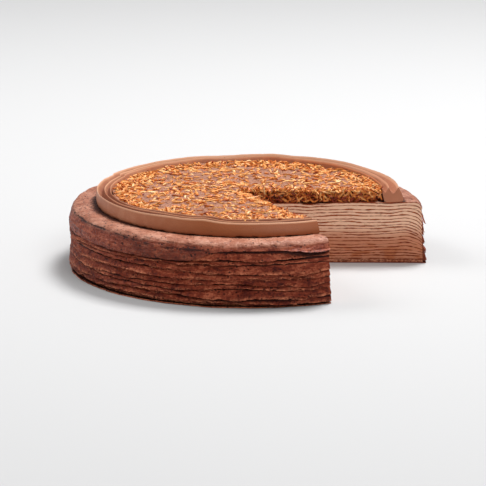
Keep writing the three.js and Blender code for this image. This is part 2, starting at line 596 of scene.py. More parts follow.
@dataclass(frozen=True)
class Shreds:
    """Thin baked shreds, from toasted amber to pale gold, a little glossy."""

    name: str = "baked_shreds"
    toasted: Colour = tint(136, 44, 8)
    amber: Colour = tint(208, 114, 38)
    golden: Colour = tint(228, 164, 95)
    pale: Colour = tint(244, 204, 148)

    def material(self) -> bpy.types.Material:
        """Makes the material."""
        make = Shader(self.name)
        stops = [(0.0, self.toasted), (0.28, self.amber), (0.6, self.golden), (1.0, self.pale)]
        # The tone mark is partly painted shade: shreds low and deep in the cut faces are darker.
        tone = make.mark("tone") + (make.noise(2.0, 2) - 0.5) * 0.35
        base = make.node("ShaderNodeValToRGB", {"stops": stops}, {"Fac": tone})
        relief = make.noise(0.7, 3, 0.6)
        values = {"Base Color": base, "Normal": make.bump(relief, 0.2)}
        return make.finish({**values, "Roughness": 0.42, "Specular IOR Level": 0.4})


@dataclass(frozen=True)
class PaleFloor:
    """A plain pale studio floor."""

    name: str = "pale_floor"
    colour: Colour = (0.555, 0.555, 0.558)

    def material(self) -> bpy.types.Material:
        """Makes the material."""
        values = {"Base Color": self.colour, "Roughness": 0.7, "Specular IOR Level": 0.1}
        return Shader(self.name).finish(values)


# The notch -------------------------------------------------------------------------------------


@dataclass(frozen=True)
class Notch:
    """The two upright cuts of the missing slice and the tip where they meet."""

    tip_x: float = -6.8
    tip_y: float = 0.5
    front_deg: float = -1.0
    rear_deg: float = -61.0
    widening: float = 0.022

    def heading(self, side: Side) -> Array:
        """The unit direction of a cut, from the tip outwards."""
        turn = math.radians(self.front_deg if side is Side.FRONT else self.rear_deg)
        return np.array([math.cos(turn), math.sin(turn)])

    def outward(self, side: Side) -> Array:
        """The unit normal of a cut face, pointing into the notch."""
        ahead = self.heading(side)
        sign = 1 if side is Side.FRONT else -1
        return np.array([ahead[1], -ahead[0]]) * sign

    def reach(self, radius: Array | float, side: Side) -> Array:
        """Distances from the tip along a cut to circles around the cake's centre."""
        ahead = self.heading(side)
        along = self.tip_x * ahead[0] + self.tip_y * ahead[1]
        square = self.tip_x**2 + self.tip_y**2
        return -along + np.sqrt(along * along - square + np.square(radius))

    def angles(self, radius: Array, share: Array) -> Array:
        """Angles at shares of the way round, from the front cut to the rear one."""
        ends = []
        for side in Side:
            ahead = self.heading(side)
            reach = self.reach(radius, side)
            ends.append(np.arctan2(self.tip_y + reach * ahead[1], self.tip_x + reach * ahead[0]))
        return ends[0] + share * (ends[1] + 2 * math.pi - ends[0])

    def around(self, radius: Array, share: Array, height: Array) -> Array:
        """Points at nominal radii, shares of the way round, and heights.

        The cake is a little wider on the side away from the front cut, most of all at the top, so radii grow
        towards it.

        Args:
            radius: Nominal radii.
            share: Shares of the way round, from the front cut to the rear one.
            height: Heights.

        Returns:
            The points, with x, y, z on the last axis.
        """
        radius, share, height = np.broadcast_arrays(radius, share, height)
        turn = self.angles(radius, share)
        wide = self.widening * (1 - np.cos(turn)) / 2 * ease((1 - share) * 8)
        wide = wide * np.clip(radius / 50 - 0.6, 0, 1)
        radius = radius * (1 + wide * np.clip(height / 30, 0.3, 1))
        return np.stack([radius * np.cos(turn), radius * np.sin(turn), height], -1)

    def along(self, distance: Array, side: Side, height: Array, proud: Array | float = 0) -> Array:
        """Points on a cut, at distances from the tip, heights, and distances out of the cut face."""
        ahead = self.heading(side)
        outward = self.outward(side)
        distance, height, proud = np.broadcast_arrays(distance, height, proud)
        x = self.tip_x + distance * ahead[0] + proud * outward[0]
        y = self.tip_y + distance * ahead[1] + proud * outward[1]
        return np.stack([x, y, height], -1)


# The stack of crepes and cream -----------------------------------------------------------------


@dataclass
class Stack:
    """Where the layers of the body lie: level inside, wavy along the cuts and drooping at the rim."""

    notch: Notch
    crepes: int = 20
    height: float = 41.0
    crepe: float = 0.85
    sag: float = 2.4
    level_radius: float = 104.0
    droop_radius: float = 101.0
    droop_start: float = 5.0
    droop_rim: float = 4.6
    droop_middle: float = 3.9
    rounding: float = 4.6
    shoulder_top: float = 112.2
    shoulder_base: float = 113.4
    columns: int = 492
    cut_step: float = 0.8
    measured: float = 126.0
    measure_step: float = 0.5
    fade: float = 14.0
    seed: int = 11

    def __post_init__(self) -> None:
        """Works out the shared shares of the way round and the waves along the two cuts."""
        self.share = np.linspace(0, 1, self.columns)
        rim = np.full(self.columns, self.shoulder_base)
        self.turn = self.notch.angles(rim, self.share)
        self.rim_way = (self.turn - self.turn[0]) * self.shoulder_base
        self.measure = np.arange(0, self.measured, self.measure_step)
        draw = np.random.default_rng(self.seed)
        self.waves = {side: self._waves(draw) for side in Side}

    @property
    def pitch(self) -> float:
        """Height of a crepe and the cream on it."""
        return (self.height - self.crepe) / (self.crepes - 1)

    def _waves(self, draw: np.random.Generator) -> tuple[Array, Array]:
        """Unevenness along one cut.

        Args:
            draw: The source of random numbers.

        Returns:
            Shift of each crepe's middle and change of its half thickness, a row for each crepe.
        """
        shift = np.zeros(len(self.measure))
        shifts = []
        swells = []
        for index in range(self.crepes):
            fresh = 0.5 * waver(self.measure, 24, draw) + 0.3 * waver(self.measure, 9, draw)
            fine = 0.07 * waver(self.measure, 3.1, draw) + 0.04 * waver(self.measure, 1.4, draw)
            shift = (shift + np.clip(fresh - 0.34 * shift, -0.85, 0.85)) * (1 if index else 0.0)
            shifts.append(shift + (fine if index else 0))
            swell = 0.17 * waver(self.measure, 6, draw) + 0.12 * waver(self.measure, 1.6, draw) - 0.1
            swells.append(swell)
        return np.array(shifts), np.array(swells)

    def shoulder(self, level: float) -> float:
        """Nominal radius at which a layer turns down."""
        share = level / self.height
        return self.shoulder_base + (self.shoulder_top - self.shoulder_base) * share

    def droop(self, level: float, radius: Array) -> Array:
        """How far a layer has sunk at a radius near the rim."""
        above = max(0.0, level - self.droop_start) / (self.height - self.droop_start)
        shoulder = self.shoulder(level)
        share = np.clip((radius - self.droop_radius) / (shoulder - self.droop_radius), 0, 1)
        turn = np.clip((radius - shoulder) / self.rounding + 1, 0, 1)
        middle = self.droop_middle * math.sin(math.pi * above) * share**1.7
        swell = 0.8 * math.sin(math.pi * above) * np.exp(-(((radius - 101) / 6) ** 2))
        return middle - swell + self.droop_rim * above * (0.08 * share**2 + 0.92 * (1 - np.sqrt(1 - turn**2)))

    def on_cut(self, index: int, top: bool, side: Side, distance: Array) -> Array:
        """Heights of a crepe's top or underside along a cut.

        Args:
            index: The crepe, counted from 0 at the base.
            top: Whether the top is asked for.
            side: The cut.
            distance: Distances from the tip.

        Returns:
            Heights, one for each distance.
        """
        level = index * self.pitch + (self.crepe if top else 0)
        ahead = self.notch.heading(side)
        x = self.notch.tip_x + distance * ahead[0]
        y = self.notch.tip_y + distance * ahead[1]
        inward = np.clip(1 - distance / self.notch.reach(self.level_radius, side), 0, 1)
        sag = self.sag * (level / self.height) * inward
        return level - sag - self.droop(level, np.hypot(x, y)) + self.wave(index, top, side, distance)

    def wave(self, index: int, top: bool, side: Side, distance: Array) -> Array:
        """Unevenness of a crepe's top or underside along a cut."""
        if index == 0 and not top:
            return np.zeros_like(distance)
        shifts, swells = self.waves[side]
        values = shifts[index] + swells[index] * (1 if top else -1)
        return np.interp(distance, self.measure, values)

    def near_rim(self, index: int, top: bool, radius: Array) -> Array:
        """Heights of a crepe's top or underside near the rim, for every column.

        Args:
            index: The crepe, counted from 0 at the base.
            top: Whether the top is asked for.
            radius: Radii, with the columns on the last axis.

        Returns:
            Heights, in the shape of radius.
        """
        level = index * self.pitch + (self.crepe if top else 0)
        height = level - self.droop(level, radius)
        fade_front = ease(1 - self.rim_way / self.fade)
        fade_rear = ease(1 - (self.rim_way[-1] - self.rim_way) / self.fade)
        front = self.wave(index, top, Side.FRONT, self.notch.reach(radius, Side.FRONT))
        rear = self.wave(index, top, Side.REAR, self.notch.reach(radius, Side.REAR))
        return height + front * fade_front + rear * fade_rear

    def cut_distances(self, radius: float, side: Side) -> Array:
        """Distances from the tip to points along a cut, up to a circle around the centre."""
        reach = float(self.notch.reach(radius, side))
        return np.linspace(0, reach, int(reach / self.cut_step))


@dataclass
class Layer:
    """One closed layer of the body: an outline swept round, and ribbons on both cut faces."""

    stack: Stack
    border: float = 2.0
    draft: Draft = field(default_factory=Draft)

    def enclose(
        self, outer: Array, lower: tuple[int, bool], upper: tuple[int, bool], proud: float, cut: int
    ) -> None:
        """Makes the whole layer.

        Args:
            outer: Point numbers swept round, a row for each step from the top edge over the outside
                to the lower edge; the first and last rows start at the same radius on each cut.
            lower: Crepe number and whether its top, for the layer's underside.
            upper: The same for the layer's top.
            proud: How far the middle of the cut face stands out, or in where negative.
            cut: Finish number of the cut faces.
        """
        stack = self.stack
        notch = stack.notch
        half = len(outer) // 2
        tips = {}
        loops = {"top": [], "base": []}
        for side in Side:
            column = 0 if side is Side.FRONT else -1
            radius = self._radius(outer[0, column])
            distance = stack.cut_distances(radius, side)
            top = stack.on_cut(*upper, side, distance)
            base = stack.on_cut(*lower, side, distance)
            if not tips:
                tips["top"] = self.draft.add_points(notch.along(distance[:1], side, top[:1]))
                tips["base"] = self.draft.add_points(notch.along(distance[:1], side, base[:1]))
                level = (top[:1] + base[:1]) / 2
                tips["middle"] = self.draft.add_points(notch.along(distance[:1], side, level))
            rows = {}
            rows["top"] = self.draft.add_points(notch.along(distance[1:-1], side, top[1:-1]))
            rows["base"] = self.draft.add_points(notch.along(distance[1:-1], side, base[1:-1]))
            for name, heights, row in (("top", top, outer[0]), ("base", base, outer[-1])):
                inner = self.draft.add_points(notch.along(distance[1:-1], side, heights[1:-1], -self.border))
                self.draft.add_grid(np.stack([rows[name], inner]), cut)
                self.draft.add_polygon(np.array([tips[name][0], rows[name][0], inner[0]]), cut)
                self.draft.add_polygon(np.array([rows[name][-1], row[column], inner[-1]]), cut)
                loops[name].append(inner)
            swept_top = outer[:half, column]
            swept_base = outer[::-1, column][:half]
            middle = self._middle(distance[1:-1], top[1:-1], base[1:-1], side, proud)
            swept_middle = self._between(swept_top, swept_base, side, proud)
            ribbon_top = np.concatenate([tips["top"], rows["top"], swept_top])
            ribbon_base = np.concatenate([tips["base"], rows["base"], swept_base])
            ribbon_middle = np.concatenate([tips["middle"], middle, swept_middle])
            self.draft.add_grid(np.stack([ribbon_top, ribbon_middle]), cut)
            self.draft.add_grid(np.stack([ribbon_middle, ribbon_base]), cut)
            end = [ribbon_top[-1], ribbon_middle[-1], ribbon_base[-1]]
            if len(outer) % 2:
                end.append(outer[half, column])
            self.draft.add_polygon(np.array(end), cut)
        for name, row in (("top", outer[0]), ("base", outer[-1])):
            front, rear = loops[name]
            ring = np.concatenate([tips[name], front, row, rear[::-1]])
            self.draft.add_polygon(ring, cut)

    def _points(self) -> Array:
        """All points so far."""
        return np.concatenate(self.draft.points)

    def _radius(self, number: int) -> float:
        """Distance of a point from the centre."""
        x, y, _ = self._points()[number]
        return math.hypot(x, y)

    def _middle(self, distance: Array, top: Array, base: Array, side: Side, proud: float) -> Array:
        """Adds the middle row of a cut face inside the swept part."""
        draw = np.random.default_rng(self.draft.count)
        relief = proud * (1 + 0.8 * waver(distance, 2.3, draw))
        return self.draft.add_points(self.stack.notch.along(distance, side, (top + base) / 2, relief))

    def _between(self, top: Array, base: Array, side: Side, proud: float) -> Array:
        """Adds the middle row of a cut face between swept rows."""
        points = self._points()
        outward = self.stack.notch.outward(side)
        middle = (points[top] + points[base]) / 2
        middle[:, :2] += outward * proud
        return self.draft.add_points(middle)


@dataclass(frozen=True)
class LooseFlap:
    """A stretch of one crepe's skirt that hangs free of the side."""

    crepe: int
    centre_deg: float
    width_deg: float
    longer: float
    flare: float
    folds: float = 0.0


@dataclass
class CrepeStack:
    """The twenty crepes, each with a skirt that hangs over the skirts below it."""

    stack: Stack
    base_radius: float = 115.2
    skirt_steps: int = 8
    skirt_crepe: float = 0.72
    edge_crepe: float = 0.46
    gap: float = 0.05
    rise_step: float = 0.25
    ring_foot: float = 100.4
    tip_heights: tuple[float, ...] = (35.2, 30.4, 26.4, 22.3, 17.9, 13.6, 11.2, 6.9, 2.5)
    top_band: float = 84.0
    seed: int = 5
    flaps: tuple[LooseFlap, ...] = (
        LooseFlap(18, -1.0, 3.0, 5.4, 1.1),
        LooseFlap(15, -1.0, 1.2, 0.5, 0.5),
        LooseFlap(12, -1.0, 1.6, 0.7, 0.6),
        LooseFlap(9, -1.0, 1.4, 0.3, 0.7),
        LooseFlap(5, -1.0, 1.2, 0.4, 0.6),
        LooseFlap(19, 289.0, 14, -0.5, 1.5),
        LooseFlap(17, 236.0, 26, 0.2, 0.6),
        LooseFlap(18, 278.0, 14, 0.5, 0.7, 1.8),
        LooseFlap(16, 255.0, 22, 0.3, 0.8, 0.5),
        LooseFlap(14, 286.0, 14, 0.3, 0.9, 0.5),
        LooseFlap(13, 232.0, 24, 0.3, 0.8),
        LooseFlap(10, 272.0, 20, 0.3, 0.8, 0.5),
        LooseFlap(7, 262.0, 40, 0.2, 0.9),
        LooseFlap(4, 280.0, 34, 0.2, 1.2),
        LooseFlap(17, 120.0, 30, 0.3, 0.8, 0.8),
        LooseFlap(12, 60.0, 30, 0.3, 0.8, 0.6),
    )

    def __post_init__(self) -> None:
        """Prepares the outline that the skirts build up from the base upwards."""
        self.draw = np.random.default_rng(self.seed)
        self.way = self.stack.rim_way
        self.rise = np.arange(0, self.stack.height + 1, self.rise_step)
        core = [self.stack.shoulder(level) - 0.6 for level in self.rise]
        self.outline = np.repeat(np.array(core)[:, None], self.stack.columns, 1)
        self.outline += 0.4 * dapple(*np.meshgrid(self.rise, self.way, indexing="ij"), 14, self.draw)
        self.tips = [self._tip_line(height, number) for number, height in enumerate(self.tip_heights)]
        self.settled = ease(self.way / 9) * ease((self.way[-1] - self.way) / 9)
        # Strength of the painted shadow just below each visible edge, stronger below the first and the eighth
        # edges in some directions.
        self.shade_darkening = [np.clip(0.7 + 0.6 * waver(self.way, 38, self.draw), 0.1, 1) for _ in self.tips]
        self.shade_darkening[1] = 0.35 + 0.8 * self._bell(288, 10)
        self.shade_darkening[8] = 0.6 + 0.6 * self._bell(276, 26)

    def _tip_line(self, height: float, number: int) -> Array:
        """Where the visible lower edge of a group of skirts runs, for every column."""
        slow = (1.5 if number else 0.25) * waver(self.way, 44, self.draw)
        middle = 0.5 * waver(self.way, 15, self.draw) + 0.3 * waver(self.way, 6, self.draw)
        if number == 0:
            degrees = np.degrees(self.stack.turn)
            height = height + 0.5 - 7.5 * ease((degrees - 140) / 30) * ease((262 - degrees) / 14)
            height = height - 2.4 * ease((degrees - 279) / 14)
        return height + slow + middle

    def build(self, skin: bpy.types.Material, top_skin: bpy.types.Material, cut: bpy.types.Material) -> None:
        """Builds and dresses all crepes.

        Args:
            skin: Finish of the skirts.
            top_skin: Finish of the top crepe.
            cut: Finish of the cut edges.
        """
        for index in range(self.stack.crepes):
            last = index == self.stack.crepes - 1
            layer = self._base_crepe() if index == 0 else self._hanging_crepe(index, last)
            name = f"baked_crepe_{index + 1:02d}"
            piece = layer.draft.build(name, [top_skin if last else skin, cut])
            joined("crepe", piece, Slot.CREPE, f"crepe_{index + 1:02d}")

    def _base_crepe(self) -> Layer:
        """The lowest crepe: flat, with a thin uneven lip."""
        stack = self.stack
        edge = self.base_radius + 0.45 * waver(self.way, 7, self.draw) + 0.3 * waver(self.way, 2, self.draw)
        curl = 0.2 + 0.25 * waver(self.way, 16, self.draw)
        rows = [
            (np.full_like(edge, 110.0), np.full_like(edge, stack.crepe)),
            (edge - 1.4, stack.crepe * 0.92 + 0.3 * curl),
            (edge - 0.25, 0.68 + 0.12 * waver(self.way, 3, self.draw) + curl * 0.8),
            (edge, 0.34 + curl * 0.8),
            (edge - 0.2, 0.06 + np.maximum(curl, 0) * 0.6),
            (edge - 1.4, np.zeros_like(edge)),
            (np.full_like(edge, 110.0), np.zeros_like(edge)),
        ]
        self.outline = np.maximum(self.outline, np.where(self.rise[:, None] < stack.crepe, edge - 0.6, 0))
        # The lip is paler; painted shade lies on the top under the lowest skirts.
        return self._sweep(0, rows, [0, 0, 0.6, 1, 0.6, 0, 0], [1, 0.9, 0.3, 0, 0, 0, 0])

    def _hanging_crepe(self, index: int, last: bool) -> Layer:
        """A crepe with its skirt, laid over the ones below it.

        Args:
            index: The crepe, counted from 0 at the base.
            last: Whether it is the top crepe, whose upper face shows.

        Returns:
            The layer.
        """
        stack = self.stack
        thick = (self.skirt_crepe + (0.2 if last else 0)) * (1 + 0.15 * waver(self.way, 5, self.draw))
        nominal = stack.shoulder(index * stack.pitch + stack.crepe)
        sway = 0.3 * waver(self.way, 19, self.draw) * self.settled
        turning = stack.rounding * (1 - np.sin(np.radians(np.linspace(0, 80, 15 if last else 6))))
        flat = [self.top_band, 88, 92, 96, 98, 99.2, 100.4, *np.linspace(101.2, nominal - 5.2, 9)]
        reaches = [*(flat if last else []), *(nominal - turning)]
        top_rows = []
        base_rows = []
        for reach in reaches:
            shift = sway * float(ease(np.array((reach - 100) / 8)))
            thin = self.skirt_crepe * 0.8 * max(0.0, 1 - (nominal - reach) / stack.rounding) ** 1.5
            under = np.full_like(sway, reach - thin)
            top_rows.append((reach + shift, stack.near_rim(index, True, np.full_like(sway, reach))))
            base_rows.append((reach - thin + shift, stack.near_rim(index, False, under)))
        if last:
            top_rows = self._dimpled(top_rows)
            cracks = [self._crack_shadow(height) for _, height in top_rows]
            both = zip(top_rows, cracks)
            top_rows = [(radius - 0.12 * crack, height - 0.08 * crack) for (radius, height), crack in both]
        level = index * stack.pitch + stack.crepe
        shoulder = level - stack.droop(level, np.array(nominal))
        outside, inside = self._skirt(index, float(shoulder), nominal + sway, thick)
        rows = top_rows + outside + inside[::-1] + base_rows[::-1]
        steps = len(outside)
        wear = 0.45 + 0.8 * waver(self.way, 9, self.draw) + 0.5 * waver(self.way, 2.6, self.draw)
        wear = np.clip(wear, 0, 1) * (0.1 if last else 1)
        edge = [0.0] * len(top_rows) + [wear * max(0.0, 3 * step / steps - 2) for step in range(1, steps + 1)]
        # Painted shade: on the top crepe by the ring's foot and along its cracks, over the turning parts of
        # the lower crepes, just below each overhanging edge, and on the inner faces and the underside.
        if last:
            foot = [np.maximum(self._foot_shade(reach), crack) for reach, crack in zip(reaches, cracks)]
        else:
            foot = [0.9] * len(reaches)
        shaded = [self._shade(index, height) for _, height in outside]
        hollow = foot + shaded + [0.95] * len(edge)
        return self._sweep(index, rows, edge + edge[::-1], hollow)

    def _shade(self, index: int, height: Array) -> Array:
        """Painted shadow on a skirt just below the edge that hangs over it."""
        number = self._group(index)
        if number == 0:
            return self._crack_shadow(height)
        above = np.min(self.tips[:number], axis=0) - height
        deeper = 2.0 * self._bell(287, 10) if number == 1 else 0.7 * self._bell(276, 24) * (number == 8)
        reach = 0.9 + deeper
        return self.shade_darkening[number] * np.exp(-((np.maximum(0, above) / reach) ** 1.5))

    def _foot_shade(self, reach: float) -> Array:
        """Painted shade on the top crepe: the ring's shadow by its foot, and a light shade on the sides away
        from the front.
        """
        left = self._bell(LOW_FOOT_DEG, LOW_FOOT_SPREAD_DEG)
        wide = 1 + self.stack.notch.widening * (1 - np.cos(self.stack.turn)) / 2
        away = np.maximum(0, reach * wide - self.ring_foot + FOOT_SLIMMER * left)
        width = 0.7 + 4.2 * left * (1 + 0.4 * waver(self.way, 12, np.random.default_rng(3)))
        foot = 0.95 * np.exp(-away / width) * (0.75 + 0.25 * left)
        return np.maximum(foot, 0.3 * (1 - self._bell(270, 34)))

    def _crack_shadow(self, height: Array) -> Array:
        """Painted shadow on the top crepe along the cracks where it turns down, on one side of the cake, and
        painted shade below the fainter crack.
        """
        degrees = np.degrees(self.stack.turn)
        draw = np.random.default_rng(8)
        drift = 0.35 * waver(self.way, 14, draw) + 0.22 * waver(self.way, 3.5, draw)
        patchy = np.clip(0.8 + 0.5 * waver(self.way, 5, draw), 0.3, 1)
        drift = drift + 0.32 * waver(self.way, 2.0, draw)
        patchy = patchy * np.clip(0.85 + 0.4 * waver(self.way, 1.7, draw), 0.4, 1.1)
        deep_line = 35.5 + 3.4 * ease((244 - degrees) / 24)
        deep_shade = ease((degrees - 184) / 12) * ease((264 - degrees) / 12)
        faint_line = 40.0 - 3.6 * ease((degrees - 228) / 36)
        faint = 0.6 * ease((degrees - 210) / 14) * ease((278 - degrees) / 12)
        deep_shade = deep_shade * np.exp(-(((height - deep_line - drift) / 0.62) ** 2))
        faint = faint * np.exp(-(((height - faint_line + drift) / 0.42) ** 2))
        # Painted shade under the roll, below the fainter crack, speckled like pores.
        porous = 0.34 * ease((faint_line - height) / 1.4)
        porous = porous * ease((degrees - 214) / 20) * ease((284 - degrees) / 14)
        return np.maximum(np.maximum(deep_shade, faint) * patchy, porous)

    def _bell(self, centre_deg: float, width_deg: float) -> Array:
        """A smooth strength for every column, 1 at a direction and fading away from it."""
        off = (np.degrees(self.stack.turn) - centre_deg + 180) % 360 - 180
        return np.exp(-((off / width_deg) ** 2))

    def _dimpled(self, rows: list[tuple[Array, Array]]) -> list[tuple[Array, Array]]:
        """Gives the top crepe's upper face slow swells and fine wrinkles."""
        radii = np.array([radius for radius, _ in rows])
        way = np.broadcast_to(self.way, radii.shape)
        relief = 0.3 * dapple(way, radii, 9, self.draw) + 0.16 * dapple(way, radii, 3.2, self.draw)
        relief += 0.07 * dapple(way, radii, 1.3, self.draw)
        fade = ease((radii - 98) / 3) * ease(way / 6 + 0.3) * ease((way[0, -1] - way) / 6 + 0.3)
        relief *= fade
        return [(radius + bump * 0.4, height + bump) for (radius, height), bump in zip(rows, relief)]

    def _skirt(
        self, index: int, shoulder: float, turn: Array, thick: Array
    ) -> tuple[list[tuple[Array, Array]], list[tuple[Array, Array]]]:
        """Drapes a skirt over the outline of what hangs below it, and adds it to that outline.

        Args:
            index: The crepe, counted from 0 at the base.
            shoulder: Height at which it turns down.
            turn: Radius at which it turns down, for every column.
            thick: Thickness for every column.

        Returns:
            Rows of radius and height, going down, of the outer and the inner face.
        """
        tip = self._tip(index, shoulder)
        flare, loose = self._flare(index)
        start = shoulder - 0.15
        steps = self.skirt_steps * (2 if index == self.stack.crepes - 1 else 1)
        shares = np.linspace(0, 1, steps) ** 0.9
        heights = start + (tip - start) * shares[:, None]
        way = np.broadcast_to(self.way, heights.shape)
        lumps = 0.34 * dapple(way, heights, 5.5, self.draw) + 0.2 * dapple(way, heights, 2.3, self.draw)
        outside = []
        inside = []
        laid = []
        held = np.zeros_like(tip)
        for share, height, lump in zip(shares, heights, lumps):
            under = self._outline_at(height)
            under = np.maximum(under, self._outline_at(height - 0.5) - 0.25)
            lay = self._smoothed(np.maximum(under + self.gap, held))
            lay = np.maximum(lay, turn - 0.6)
            crepe = thick * (1 - share) + (self.edge_crepe + 0.4 * np.clip(loose, 0, 1.4)) * share
            laid.append((lay + crepe, height))
            held = lay - 0.22 * (start - tip) / steps
            lay = lay + (flare + loose) * share**1.8
            lay = lay + (np.maximum(lump, -0.25) + 0.25) * min(1.0, share * 3) * self.settled
            outside.append((lay + crepe, height))
            inside.append((lay, height - 0.25 * (1 - share)))
        self._raise_outline(laid, tip, shoulder)
        return outside, inside

    def _tip(self, index: int, shoulder: float) -> Array:
        """Heights of a skirt's ragged lower edge, for every column."""
        number = self._group(index)
        line = self.tips[number]
        outermost = index == self.stack.crepes - 1 or self._group(index + 1) != number
        peek = 0.0
        if not outermost:
            peek = 1.5 * waver(self.way, 30, self.draw) + 0.3 * waver(self.way, 9, self.draw)
        ragged = 0.3 * waver(self.way, 3.4, self.draw) + 0.24 * waver(self.way, 1.5, self.draw)
        tear = np.maximum(0, waver(self.way, 7, self.draw) - 0.45) * 1.3
        tip = line + peek + ragged + tear
        for flap in self.flaps:
            if flap.crepe == index:
                tip = tip - flap.longer * self._around(flap)
        return np.clip(tip, 1.2, shoulder - 0.8)

    def _group(self, index: int) -> int:
        """The number of the visible edge that a crepe's skirt belongs to."""
        level = index * self.stack.pitch + self.stack.crepe
        shoulder = level - self.stack.droop(level, np.array(self.stack.shoulder(level)))
        below = [number for number, height in enumerate(self.tip_heights) if height < shoulder - 0.9]
        return below[0] if below else len(self.tip_heights) - 1

    def _flare(self, index: int) -> tuple[Array, Array]:
        """How far a skirt's edge stands off what it hangs over, for every column.

        Args:
            index: The crepe, counted from 0 at the base.

        Returns:
            The general flare, and the extra one of its loose flaps.
        """
        number = self._group(index)
        outermost = index == self.stack.crepes - 1 or self._group(index + 1) != number
        slow = np.maximum(0, waver(self.way, 26, self.draw))
        fine = np.abs(waver(self.way, 4, self.draw))
        flare = 0.08 + 0.9 * slow**1.5 + 0.2 * fine if outermost else 0.04 + 0.12 * fine
        flare = flare * (0.25 + 0.75 * self.settled) * (0.4 if number == 0 else 1)
        loose = np.zeros_like(self.way)
        folds = np.maximum(0, waver(self.way, 3.4, self.draw))
        for flap in self.flaps:
            if flap.crepe == index:
                loose = loose + (flap.flare + flap.folds * folds) * self._around(flap)
        return flare, loose

    def _around(self, flap: LooseFlap) -> Array:
        """A flap's strength for every column, 1 at its centre and 0 away from it."""
        off = np.degrees(self.stack.turn) - flap.centre_deg
        off = (off + 180) % 360 - 180
        return ease(1 - np.abs(off) / flap.width_deg)

    def _outline_at(self, height: Array) -> Array:
        """Radius of the outline built so far, at one height for each column."""
        place = np.clip(height / self.rise_step, 0, len(self.rise) - 1.001)
        low = np.floor(place).astype(int)
        share = place - low
        column = np.arange(self.stack.columns)
        return self.outline[low, column] * (1 - share) + self.outline[low + 1, column] * share

    @staticmethod
    def _smoothed(values: Array) -> Array:
        """Values eased sideways, as cloth spans small hollows, and never below what they were."""
        padded = np.pad(values, 3, mode="edge")
        mean = np.convolve(padded, np.ones(7) / 7, mode="valid")
        return np.maximum(values, mean)

    def _raise_outline(self, laid: list[tuple[Array, Array]], tip: Array, shoulder: float) -> None:
        """Adds a skirt's outer face to the outline."""
        radii = np.array([radius for radius, _ in laid])[::-1]
        heights = np.array([height for _, height in laid])[::-1]
        inside = (self.rise[:, None] >= tip[None]) & (self.rise[:, None] <= shoulder)
        for column in range(self.stack.columns):
            rows = inside[:, column]
            face = np.interp(self.rise[rows], heights[:, column], radii[:, column])
            self.outline[rows, column] = np.maximum(self.outline[rows, column], face)

    def _sweep(self, index: int, rows: list, edge: list[float], hollow: list[float]) -> Layer:
        """Sweeps rows of radius and height round the cake and closes them to a layer."""
        layer = Layer(self.stack)
        points = [self.stack.notch.around(radius, self.stack.share, height) for radius, height in rows]
        marks = {}
        for name, values in (("edge", edge), ("hollow", hollow)):
            marks[name] = np.array([np.broadcast_to(value, self.stack.columns) for value in values])
        ids = layer.draft.add_points(np.array(points), **marks)
        layer.draft.add_grid(ids, 0)
        layer.enclose(ids, (index, False), (index, True), -0.04, 1)
        return layer


@dataclass
class CreamLayers:
    """The nineteen layers of cream, each filling the space between two crepes."""

    stack: Stack
    inset: float = 1.3
    inset_at_cuts: float = 0.35
    seed: int = 23

    def build(self, cut: bpy.types.Material) -> None:
        """Builds and dresses all layers of cream."""
        stack = self.stack
        draw = np.random.default_rng(self.seed)
        covered = ease(stack.rim_way / stack.fade) * ease((stack.rim_way[-1] - stack.rim_way) / stack.fade)
        for index in range(stack.crepes - 1):
            rim = stack.shoulder(index * stack.pitch) - self.inset_at_cuts
            rim = rim - (self.inset + 0.4 * waver(stack.rim_way, 9, draw)) * covered
            top = stack.near_rim(index + 1, False, rim)
            base = stack.near_rim(index, True, rim)
            bulge = rim + 0.25
            rows = [(rim, top), (bulge, (top + base) / 2), (rim, base)]
            layer = Layer(stack)
            points = [stack.notch.around(radius, stack.share, height) for radius, height in rows]
            ids = layer.draft.add_points(np.array(points))
            layer.draft.add_grid(ids, 0)
            layer.enclose(ids, (index, True), (index + 1, False), 0.1, 0)
            piece = layer.draft.build(f"spread_cream_{index + 1:02d}", [cut])
            joined("cream", piece, Slot.CREAM, f"cream_{index + 1:02d}")


# The piped ring --------------------------------------------------------------------------------


@dataclass(frozen=True)
class Lip:
    """One sharp ridge of the piped ribbon, and the groove that follows it inwards."""

    radius: float
    drop: float
    turned: float
    groove_radius: float = 0.0
    groove_depth: float = 0.0
    groove_turned: float = 0.0


